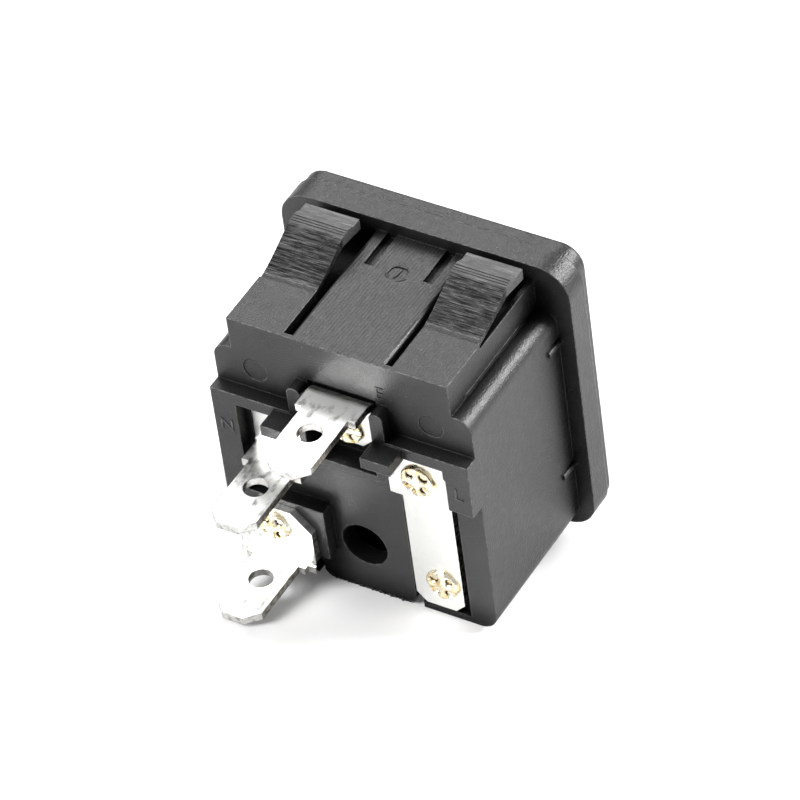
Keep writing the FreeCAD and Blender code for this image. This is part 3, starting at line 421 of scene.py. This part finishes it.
tin = {
    "color": (0.96, 0.96, 0.94),
    "duller": (0.32, 0.32, 0.31),
    "patchSize": 0.6 * mm,
    "patchStretch": (1, 0.5, 1),
    "tabFrom": (16.8 * mm, 18.6 * mm),  # Y, behind the plates
    "plateShare": 0.06,  # of the tabs' patches and painted edge shade, on the plates
    # the colour of the painted shade along the sheets' rounded edges
    "edgeColor": (0.38, 0.38, 0.36),
    "edgeRadius": 0.12 * mm,
    "shearedColor": (0.17, 0.155, 0.13),
    "shearedSize": 0.4 * mm,
    "endFrom": (18.4 * mm, 18.5 * mm),
    "endShare": 0.42,
    "rough": (0.28, 0.44),
    "smearSize": 0.7 * mm,
    "dentSize": 1.6 * mm,
    "dentDepth": 0.012 * mm,
    "scratch": 0.05 * mm,
    "scratchStretch": (1, 0.06, 1),
    "scratchTurn": 0.2,
    "scratchDepth": 0.004 * mm,
}


def shearedShare(g):
    # the sheets' sheared sides, where the bare brass shows: 1 where they look along X, and less
    # at the tabs' tinned ends, past their bends
    acrossX, _, upZ = g.axes(g.add("ShaderNodeNewGeometry").outputs["Normal"])
    side = g.remap(g.math("ABSOLUTE", acrossX), 0.75, 0.95)
    onTab = g.remap(g.axes(g.spot())[1], *tin["endFrom"], 0.0, tin["endShare"])
    steep = g.remap(g.math("ABSOLUTE", upZ), 0.6, 0.4)
    share = g.math("MAXIMUM", side, g.times(onTab, steep))
    return g.times(share, g.remap(g.noise(tin["shearedSize"], 4), 0.3, 0.6, 0.5, 1.0))


def tinnedSheet(name):
    g = finish(name)
    rounded = g.softEdges(tin["edgeRadius"])
    onTab = g.remap(g.axes(g.spot())[1], *tin["tabFrom"], tin["plateShare"], 1.0)
    patch = g.remap(g.noise(tin["patchSize"], 6, stretch=tin["patchStretch"]), 0.50, 0.70)
    base = g.blend(g.times(patch, onTab), tin["color"], tin["duller"])
    # painted shade along the sheets' rounded edges, mostly on the tabs
    base = g.blend(g.times(g.edgeShare(rounded), onTab), base, tin["edgeColor"])
    g.put("Base Color", g.blend(shearedShare(g), base, tin["shearedColor"]))
    g.put("Metallic", 1.0)
    g.put("Roughness", g.remap(g.noise(tin["smearSize"], 6), 0.3, 0.75, *tin["rough"]))
    normal = g.bump(g.noise(tin["dentSize"], 2), tin["dentDepth"], rounded)
    turn = (0, 0, tin["scratchTurn"])
    lines = g.noise(tin["scratch"], 3, stretch=tin["scratchStretch"], turn=turn)
    g.put("Normal", g.bump(lines, tin["scratchDepth"], normal))
    return g.material


brass = {
    "color": (0.93, 0.76, 0.45),
    "pale": (0.95, 0.92, 0.80),
    "paleSize": 0.9 * mm,
    "dark": (0.035, 0.022, 0.012),
    "dirtSize": 0.4 * mm,
    "punchedDirt": 0.6,
    "rough": (0.18, 0.34),
    "smearSize": 0.3 * mm,
    "edgeRadius": 0.08 * mm,
    "dentSize": 0.25 * mm,
    "dents": 0.002 * mm,
    "punchedDents": 0.03 * mm,
}


def stakedBrass(name, punched=False):
    # punched: the pieces carry a hollow attribute, 1 at the bottom of a punched pit
    g = finish(name)
    rounded = g.softEdges(brass["edgeRadius"])
    plated = g.remap(g.noise(brass["paleSize"], 4), 0.42, 0.58)
    base = g.blend(plated, brass["color"], brass["pale"])
    if punched:
        dirtAndPitShade = g.remap(g.noise(brass["dirtSize"], 4), 0.60, 0.74, 0.0, brass["punchedDirt"])
        hollow = g.add("ShaderNodeAttribute", attribute_name="hollow").outputs["Fac"]
        # painted shade at the bottom of the punched pits, added to the dirt spots
        dirtAndPitShade = g.math("MAXIMUM", dirtAndPitShade, g.remap(hollow, 0.25, 0.60))
        base = g.blend(dirtAndPitShade, base, brass["dark"])
    g.put("Base Color", base)
    g.put("Metallic", 1.0)
    g.put("Roughness", g.remap(g.noise(brass["smearSize"], 4), 0.3, 0.7, *brass["rough"]))
    dents = brass["punchedDents"] if punched else brass["dents"]
    g.put("Normal", g.bump(g.noise(brass["dentSize"], 4), dents, rounded))
    return g.material


nickel = {
    "color": (0.80, 0.79, 0.76),
    "duller": (0.66, 0.65, 0.62),
    "toneSize": 1.2 * mm,
    "rough": (0.14, 0.28),
    "smearSize": 0.4 * mm,
    "edgeRadius": 0.2 * mm,
    "dentSize": 0.8 * mm,
    "dentDepth": 0.01 * mm,
}


def brightCap(name):
    g = finish(name)
    tone = g.remap(g.noise(nickel["toneSize"], 3), 0.3, 0.7)
    g.put("Base Color", g.blend(tone, nickel["color"], nickel["duller"]))
    g.put("Metallic", 1.0)
    g.put("Roughness", g.remap(g.noise(nickel["smearSize"], 3), 0.3, 0.7, *nickel["rough"]))
    rounded = g.softEdges(nickel["edgeRadius"])
    g.put("Normal", g.bump(g.noise(nickel["dentSize"], 2), nickel["dentDepth"], rounded))
    return g.material


glass = {
    "color": (0.96, 0.985, 0.98),
    "ior": 1.5,
    "rough": (0.02, 0.07),
    "smearSize": 1.5 * mm,
}


def clearTube(name):
    g = finish(name)
    g.put("Base Color", (*glass["color"], 1))
    g.put("Transmission Weight", 1.0)
    g.put("IOR", glass["ior"])
    g.put("Roughness", g.remap(g.noise(glass["smearSize"], 3), 0.3, 0.7, *glass["rough"]))
    return g.material


def dress(names, material):
    for name in names:
        mesh = nodes[name].data
        mesh.materials.clear()
        mesh.materials.append(material)


def dressNodes():
    dress(("housing",), mouldedPlastic("housingPlastic", latches=True))
    dress(("fuse_drawer",), mouldedPlastic("drawerPlastic"))
    terminals = ("line_strap", "earth_terminal", "neutral_terminal", "line_terminal")
    dress(terminals, tinnedSheet("tinnedSheet"))
    dress(("line_fuse_clip", "load_fuse_clip"), tinnedSheet("springSheet"))
    dress(("line_pin", "neutral_pin", "earth_pin"), stakedBrass("pinBrass"))
    dress(("line_clip_rivet", "load_clip_rivet"), stakedBrass("rivetBrass"))
    dress(("line_fuse_cap", "load_fuse_cap"), brightCap("capNickel"))
    dress(("fuse_glass",), clearTube("tubeGlass"))
    dress(("fuse_wire",), brightCap("wireMetal"))


def addPiece(name, mesh, material):
    mesh.materials.clear()
    mesh.materials.append(material)
    piece = bpy.data.objects.new(name, mesh)
    scene.collection.objects.link(piece)
    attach(piece, module)


def gridMesh(name, points, faces):
    # points and faces to a smooth closed mesh whose faces look outwards
    mesh = bpy.data.meshes.new(name)
    mesh.from_pydata(points.tolist(), [], faces)
    mesh.validate()
    mesh.polygons.foreach_set("use_smooth", np.ones(len(mesh.polygons), bool))
    work = bmesh.new()
    work.from_mesh(mesh)
    bmesh.ops.recalc_face_normals(work, faces=work.faces)
    work.to_mesh(mesh)
    work.free()
    mesh.update()
    return mesh


def ringFaces(rows, columns, closed=False):
    # quads between neighbouring rings, the last column joined to the first, and the last ring
    # to the first where the path is closed
    firstRows = np.arange(rows if closed else rows - 1)
    row, column = np.meshgrid(firstRows, np.arange(columns), indexing="ij")
    below = (row + 1) % rows
    after = (column + 1) % columns
    quads = np.stack([row * columns + column, below * columns + column,
                      below * columns + after, row * columns + after], axis=-1)
    return quads.reshape(-1, 4).tolist()


def fanFaces(first, middle, count, flip=False):
    # triangles from the point middle to a ring of count points that starts at first
    column = np.arange(count)
    after = (column + 1) % count
    ends = (after, column) if flip else (column, after)
    return np.stack([np.full(count, middle), first + ends[0], first + ends[1]], axis=1).tolist()


def skinAlong(path, sideways, outward, wide, high, around=10, closed=False):
    # a closed skin round a path: at each of its points an ellipse, wide times the cosine along
    # sideways plus high times the sine along outward, and a fan over each open end
    angle = np.linspace(0, 2 * math.pi, around, endpoint=False)[None, :, None]
    wide = np.broadcast_to(wide, len(path))[:, None, None]
    high = np.broadcast_to(high, len(path))[:, None, None]
    rings = path[:, None] + wide * np.cos(angle) * sideways[:, None]
    rings = rings + high * np.sin(angle) * outward[:, None]
    points = rings.reshape(-1, 3)
    faces = ringFaces(len(path), around, closed)
    if not closed:
        count = len(points)
        faces += fanFaces(0, count, around)
        faces += fanFaces(count - around, count + 1, around, flip=True)
        points = np.concatenate([points, path[:1], path[-1:]])
    return points, faces


stake = {
    "rings": 34,
    "around": 96,
    "height": 0.66 * mm,
    "crown": 0.16,  # share of the height lost from the middle to the rim
    "rimPower": 9,  # higher is a sharper rim
    "pitDepth": 0.46 * mm,
    "pitPlace": 0.64,  # of the radius, as the pits' size
    "pitSize": 0.20,
    "pitPower": 1.4,  # higher is a flatter pit with steeper walls
    "wobble": 0.05,
    "slowWobble": 0.025,
    "wave": 0.05 * mm,
    # each head: the pin or rivet it belongs to, the sheet it holds, radius in mm, seed, slot
    "heads": {
        "linePinStake": ("line_pin", "line_strap", 1.80, 3, "pin_brass"),
        "neutralPinStake": ("neutral_pin", "neutral_terminal", 1.20, 5, "pin_brass"),
        "earthPinStake": ("earth_pin", "earth_terminal", 1.80, 8, "pin_brass"),
        "lineRivetStake": ("line_clip_rivet", "line_strap", 1.74, 11, "rivet_brass"),
        "loadRivetStake": ("load_clip_rivet", "line_terminal", 1.74, 14, "rivet_brass"),
    },
}


def stakedHead(x, z, seat, radius, seed):
    # height over a disc: a low dome that falls to the sheet at its rim, less four punched pits
    # at 45 degrees, plus a few slow waves. The rim swells between the pits. The middle and the
    # underside are closed by fans.
    rng = np.random.default_rng(seed)
    share = np.linspace(0.03, 1.0, stake["rings"])[:, None]
    angle = np.linspace(0, 2 * math.pi, stake["around"], endpoint=False)[None, :]
    edge = 1 + stake["wobble"] * np.cos(4 * angle) + stake["slowWobble"] * np.cos(3 * angle + seed)
    r = share * radius * edge
    rim = np.clip(1.0 - share ** stake["rimPower"], 0, 1)
    dome = stake["height"] * (1 - stake["crown"] * share**2) * rim
    across, upward = share * np.cos(angle), share * np.sin(angle)
    places = math.pi / 4 + np.arange(4) * math.pi / 2 + rng.normal(0, 0.05, 4)
    far = stake["pitPlace"] * (1 + rng.normal(0, 0.04, 4))
    spread = stake["pitSize"] * (1 + rng.normal(0, 0.10, 4))
    gapX = across[..., None] - far * np.cos(places)
    gapZ = upward[..., None] - far * np.sin(places)
    near = ((gapX**2 + gapZ**2) / (2 * spread**2)) ** stake["pitPower"]
    pits = np.clip(np.exp(-near).sum(axis=-1), 0, 1)
    waves = stake["wave"] * np.sin(7 * across + seed) * np.cos(6 * upward - seed) * (1 - share**4)
    height = np.clip(dome - stake["pitDepth"] * pits + waves, 0, None)
    points = np.stack([x + r * np.cos(angle), seat + height, z + r * np.sin(angle)], axis=-1)
    points = points.reshape(-1, 3)
    ends = np.array([[x, seat + height[0].mean(), z], [x, seat, z]])
    count, around = len(points), stake["around"]
    faces = ringFaces(stake["rings"], around)
    faces += fanFaces(0, count, around)
    faces += fanFaces(count - around, count + 1, around, flip=True)
    hollow = np.concatenate([pits.reshape(-1), [pits[0].mean(), 0.0]])
    return np.concatenate([points, ends]), faces, hollow


def makeStakes():
    metal = stakedBrass("stakeBrass", punched=True)
    for name, (pin, sheet, radius, seed, slot) in stake["heads"].items():
        low, high = nodeBox(pin)
        x, _, z = (low + high) / 2
        seat = nodeBox(sheet)[0][1] + sheetThick
        points, faces, hollow = stakedHead(x, z, seat, radius * mm, seed)
        mesh = gridMesh(name, points, faces)
        layer = mesh.attributes.new("hollow", "FLOAT", "POINT")
        layer.data.foreach_set("value", hollow.astype(np.float32))
        addPiece(name, mesh, metal)


seam = {
    "count": 60,
    "thick": 0.07 * mm,
    "uneven": 0.25,
    "unevenPace": 37,
    "start": (11.5 * mm, 3.2 * mm, 11.45 * mm),
    "end": (11.5 * mm, 13.4 * mm, 11.45 * mm),
}


def makeSeams(material):
    # the mould's parting line along the foot of the block, straight from front to back
    count = seam["count"]
    along = np.linspace(0, 1, count)[:, None]
    start, end = np.array(seam["start"]), np.array(seam["end"])
    for name, side in (("loadSeam", 1.0), ("lineSeam", -1.0)):
        path = (start + (end - start) * along) * np.array([side, 1, 1])
        sideways = np.tile([0.0, 0.0, 1.0], (count, 1))
        outward = np.tile([side, 0.0, 0.0], (count, 1))
        thick = seam["thick"] * (1 + seam["uneven"] * np.sin(along[:, 0] * seam["unevenPace"] + side))
        points, faces = skinAlong(path, sideways, outward, thick, thick)
        addPiece(name, gridMesh(name, points, faces), material)


flash = {
    "count": 460,
    "ribHalf": 4.86 * mm,
    "flatHalf": 3.75 * mm,
    "cornerRound": 1.2 * mm,
    "footZ": -15.36 * mm,
    "inFromRear": 0.04 * mm,
    "stray": 0.04 * mm,
    "wide": 0.16 * mm,
    "high": 0.12 * mm,
    "waves": 14,
    "paces": (20, 190),  # of the waves, in radians over paceLength
    "paceLength": 9.5 * mm,
    "calm": 4.5,  # divides the sum of the waves
    "shift": 57,  # points between the waves across and those up
    "seed": 21,
}


def makeFlash(material):
    # a torn edge along the rib's lower rear edge, round its corners: a thin skin along X whose
    # width, height and place are sums of sines of many lengths, so that it looks crumbled. Past
    # the straight foot the edge climbs on a circle: z = foot + r - root(r^2 - (|x| - flat)^2)
    count, waves, r = flash["count"], flash["waves"], flash["cornerRound"]
    x = np.linspace(-flash["ribHalf"], flash["ribHalf"], count)
    past = np.clip(np.abs(x) - flash["flatHalf"], 0, None)
    foot = flash["footZ"] + r - np.sqrt(r**2 - past**2)
    rng = np.random.default_rng(flash["seed"])
    paces = rng.uniform(*flash["paces"], waves) / flash["paceLength"]
    phases = rng.uniform(0, 6, waves)
    sizes = rng.uniform(0.3, 1, waves)
    sines = np.sin(x[:, None] * paces + phases) * sizes
    rough = sines.sum(axis=1) / flash["calm"]
    other = np.roll(rough, flash["shift"])
    rear = rearWall - flash["inFromRear"]
    path = np.stack([x, rear + flash["stray"] * rough, foot + flash["stray"] * other], axis=1)
    slant = math.sqrt(0.5)
    sideways = np.tile([0.0, slant, slant], (count, 1))
    outward = np.tile([0.0, slant, -slant], (count, 1))
    wide = flash["wide"] * (1 + 0.5 * rough)
    high = flash["high"] * np.clip(1 + 0.9 * other, 0.2, None)
    points, faces = skinAlong(path, sideways, outward, wide, high, around=8)
    addPiece("ribFlash", gridMesh("ribFlash", points, faces), material)


pole = {
    "letterSize": 2.025 * mm,  # the font's size, for letters about 1.5 mm high
    "relief": 0.10 * mm,
    # each letter: x, z and how far its wall stands behind the rear wall, in mm
    "letters": {
        "N": (12.2, 2.4, 1.5),
        "L": (-12.2, 2.9, 1.5),
        "E": (-4.1, 11.2, 0.0),
    },
}


def poleMark(letter, x, z, rear, material):
    # a plain pole letter, raised from the rear wall and upright seen from behind
    curve = bpy.data.curves.new("poleMark" + letter, "FONT")
    curve.body = letter
    curve.size = pole["letterSize"]
    curve.extrude = pole["relief"] / 2
    curve.align_x, curve.align_y = "CENTER", "CENTER"
    text = bpy.data.objects.new("poleMark" + letter, curve)
    scene.collection.objects.link(text)
    bpy.context.view_layer.update()
    mesh = bpy.data.meshes.new_from_object(text)
    bpy.data.objects.remove(text)
    # seen from behind, right is -X, up is +Z and the letter's face looks along +Y
    turn = Matrix(((-1, 0, 0), (0, 0, 1), (0, 1, 0))).to_4x4()
    mesh.transform(Matrix.Translation((x, rear, z)) @ turn)
    addPiece("poleMark" + letter, mesh, material)


ribMark = {
    "middle": (0.0, 4.5 * mm, 14.70 * mm),
    "ringRadius": 1.03 * mm,
    "ringWire": 0.11 * mm,
    "ringCount": 72,
    "barReach": (0.10 * mm, 0.62 * mm, 0.0),
    "barWire": 0.10 * mm,
    "barCount": 30,
}


def makeRibMark(material):
    # the round mould mark on the rib: a thin ring and an upright bar inside it
    count = ribMark["ringCount"]
    angle = np.linspace(0, 2 * math.pi, count, endpoint=False)
    radius = ribMark["ringRadius"] * (1 + 0.03 * np.sin(5 * angle))
    ring = np.stack([np.cos(angle), np.sin(angle), np.zeros(count)], axis=1)
    path = np.array(ribMark["middle"]) + ring * radius[:, None]
    upward = np.tile([0.0, 0.0, 1.0], (count, 1))
    wire = ribMark["ringWire"] * (1 + 0.3 * np.sin(3 * angle))
    points, faces = skinAlong(path, ring, upward, wire, wire, closed=True)
    addPiece("ribMarkRing", gridMesh("ribMarkRing", points, faces), material)
    count = ribMark["barCount"]
    along = np.linspace(-1, 1, count)[:, None]
    path = np.array(ribMark["middle"]) + along * np.array(ribMark["barReach"])
    sideways = np.tile([1.0, 0.0, 0.0], (count, 1))
    wire = ribMark["barWire"] * (1 - 0.5 * along[:, 0] ** 2)
    points, faces = skinAlong(path, sideways, upward[:count], wire, wire)
    addPiece("ribMarkBar", gridMesh("ribMarkBar", points, faces), material)


def makeMarks(material):
    for letter, (x, z, behind) in pole["letters"].items():
        poleMark(letter, x * mm, z * mm, rearWall + behind * mm, material)
    makeRibMark(material)


makeCamera()
makeStudio()
print("inlet: camera, floor and light")
dressNodes()
print("inlet: finishes")
makeStakes()
print("inlet: staked heads")
reliefPlastic = mouldedPlastic("reliefPlastic")
makeSeams(reliefPlastic)
makeFlash(reliefPlastic)
makeMarks(reliefPlastic)
print("inlet: parting lines, torn edge and marks")
